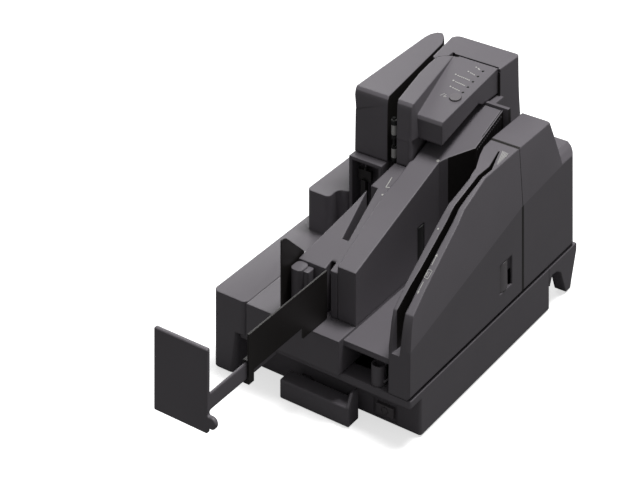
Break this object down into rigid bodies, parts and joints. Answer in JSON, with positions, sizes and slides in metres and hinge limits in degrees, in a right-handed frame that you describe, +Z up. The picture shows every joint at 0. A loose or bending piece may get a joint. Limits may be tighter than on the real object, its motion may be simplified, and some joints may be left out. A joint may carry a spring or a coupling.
{
  "type": "cheque scanner",
  "caption": "Desktop scanner that draws cheques on edge from a front hopper round a U-shaped path into two front pockets, with a card slot, hinged covers and sliding stops.",
  "frame": {"origin": "centre of the outline on the desk", "axes": "+Z up, +Y from the front to the rear, +X to the right seen from the front"},
  "size_m": [0.171, 0.3716, 0.1675],
  "materials": {
    "casing": "finely textured moulded plastic",
    "button": "smooth moulded plastic",
    "path_black": "black moulded plastic",
    "rubber": "matt rubber",
    "roller_grey": "pale grey roller rubber",
    "belt": "toothed belt rubber",
    "board": "solder resist",
    "socket_black": "black connector plastic",
    "sensor": "clear cover over a pale bar",
    "lamp": "dark lens",
    "pulley": "natural white plastic",
    "screw_steel": "zinc plated",
    "pin_steel": "ground",
    "plate_steel": "zinc plated sheet",
    "head_steel": "polished",
    "motor_steel": "zinc plated can"
  },
  "bodies": {
    "base": {"base_tray": "casing", "rubber_feet": "rubber", "base_screws": "screw_steel", "circuit_board": "board", "supply_inlet": "socket_black", "data_socket": "plate_steel", "deck": "casing", "hollow_pin": "casing", "cover_hinge_pins": "pin_steel", "right_rear_shell": "casing", "centre_guide": "casing", "guide_nose": "casing", "leaf_pin": "pin_steel", "left_shell": "casing", "exit_housing": "casing", "left_hinge_pins": "pin_steel", "print_cartridge": "path_black", "inner_frame": "path_black", "front_image_sensor": "sensor", "rear_image_sensor": "sensor", "magnetic_head": "head_steel", "motor": "motor_steel", "drive_belt": "belt", "drive_plate": "plate_steel", "panel_hinge_pin": "pin_steel", "rear_shell": "casing"},
    "power_key": {"power_button": "button"},
    "cover": {"scanner_cover": "casing", "card_head": "head_steel", "pusher_pin": "pin_steel"},
    "latch": {"cover_latch": "button"},
    "pusher": {"hopper_pusher": "path_black"},
    "leaf": {"exit_leaf": "path_black"},
    "divider_slider": {"divider": "path_black"},
    "stop_slider": {"end_stop": "casing"},
    "rest_slider": {"front_rest": "casing"},
    "lever": {"exit_lever": "path_black"},
    "left_door": {"left_cover": "casing"},
    "exit_roller_set": {"exit_shaft": "pin_steel", "exit_rollers": "roller_grey", "exit_pulley": "pulley"},
    "feed_roller_set": {"feed_shaft": "pin_steel", "feed_roller": "rubber", "feed_pulley": "pulley"},
    "motor_rotor": {"motor_pulley": "pulley"},
    "panel": {"panel_cover": "casing", "panel_lamps": "lamp"},
    "panel_key": {"panel_button": "button"}
  },
  "joints": [
    {"name": "power_button_press", "type": "slide", "parent": "base", "child": "power_key", "axis": [0, 1, 0], "range_m": [0, 0.0015], "stiffness_N_per_m": 150},
    {"name": "scanner_cover_hinge", "type": "hinge", "parent": "base", "child": "cover", "pos_m": [0.081, 0.0262, 0.036], "axis": [0, 1, 0], "range_deg": [0, 25]},
    {"name": "latch_slide", "type": "slide", "parent": "cover", "child": "latch", "axis": [0, 1, 0], "range_m": [0, 0.004], "stiffness_N_per_m": 150},
    {"name": "pusher_hinge", "type": "hinge", "parent": "cover", "child": "pusher", "pos_m": [0.0693, 0.0227, 0.078], "axis": [0, 0, 1], "range_deg": [0, 35], "stiffness_Nm_per_rad": 0.02},
    {"name": "exit_leaf_hinge", "type": "hinge", "parent": "base", "child": "leaf", "pos_m": [-0.0241, -0.0328, 0.075], "axis": [0, 0, 1], "range_deg": [-20, 1], "stiffness_Nm_per_rad": 0.02},
    {"name": "divider_slide", "type": "slide", "parent": "base", "child": "divider_slider", "axis": [0, 1, 0], "range_m": [0, 0.06]},
    {"name": "end_stop_slide", "type": "slide", "parent": "divider_slider", "child": "stop_slider", "axis": [0, 1, 0], "range_m": [0, 0.0405]},
    {"name": "front_rest_slide", "type": "slide", "parent": "base", "child": "rest_slider", "axis": [0, 1, 0], "range_m": [-0.03, 0.006]},
    {"name": "exit_lever_hinge", "type": "hinge", "parent": "base", "child": "lever", "pos_m": [-0.034, 0.0637, 0.095], "axis": [0, 0, 1], "range_deg": [-15, 15], "stiffness_Nm_per_rad": 0.02},
    {"name": "left_cover_hinge", "type": "hinge", "parent": "base", "child": "left_door", "pos_m": [-0.0441, 0.1122, 0.1197], "axis": [0, -1, 0], "range_deg": [0, 60]},
    {"name": "exit_roller_turn", "type": "hinge", "parent": "base", "child": "exit_roller_set", "pos_m": [-0.011, 0.0688, 0.095], "axis": [0, 0, 1], "continuous": true},
    {"name": "feed_roller_turn", "type": "hinge", "parent": "base", "child": "feed_roller_set", "pos_m": [0.019, 0.0462, 0.077], "axis": [0, 0, 1], "continuous": true},
    {"name": "motor_turn", "type": "hinge", "parent": "base", "child": "motor_rotor", "pos_m": [0.0105, 0.0962, 0.044], "axis": [0, 0, 1], "continuous": true},
    {"name": "panel_cover_hinge", "type": "hinge", "parent": "base", "child": "panel", "pos_m": [0.012, 0.1548, 0.1654], "axis": [-1, 0, 0], "range_deg": [0, 70]},
    {"name": "panel_button_press", "type": "slide", "parent": "panel", "child": "panel_key", "axis": [0, 0.1425, -0.9898], "range_m": [0, 0.001], "stiffness_N_per_m": 150}
  ],
  "couplings": [
    {"joint": "exit_roller_turn", "follows": "feed_roller_turn", "ratio": 1.5},
    {"joint": "motor_turn", "follows": "feed_roller_turn", "ratio": 2.25}
  ]
}
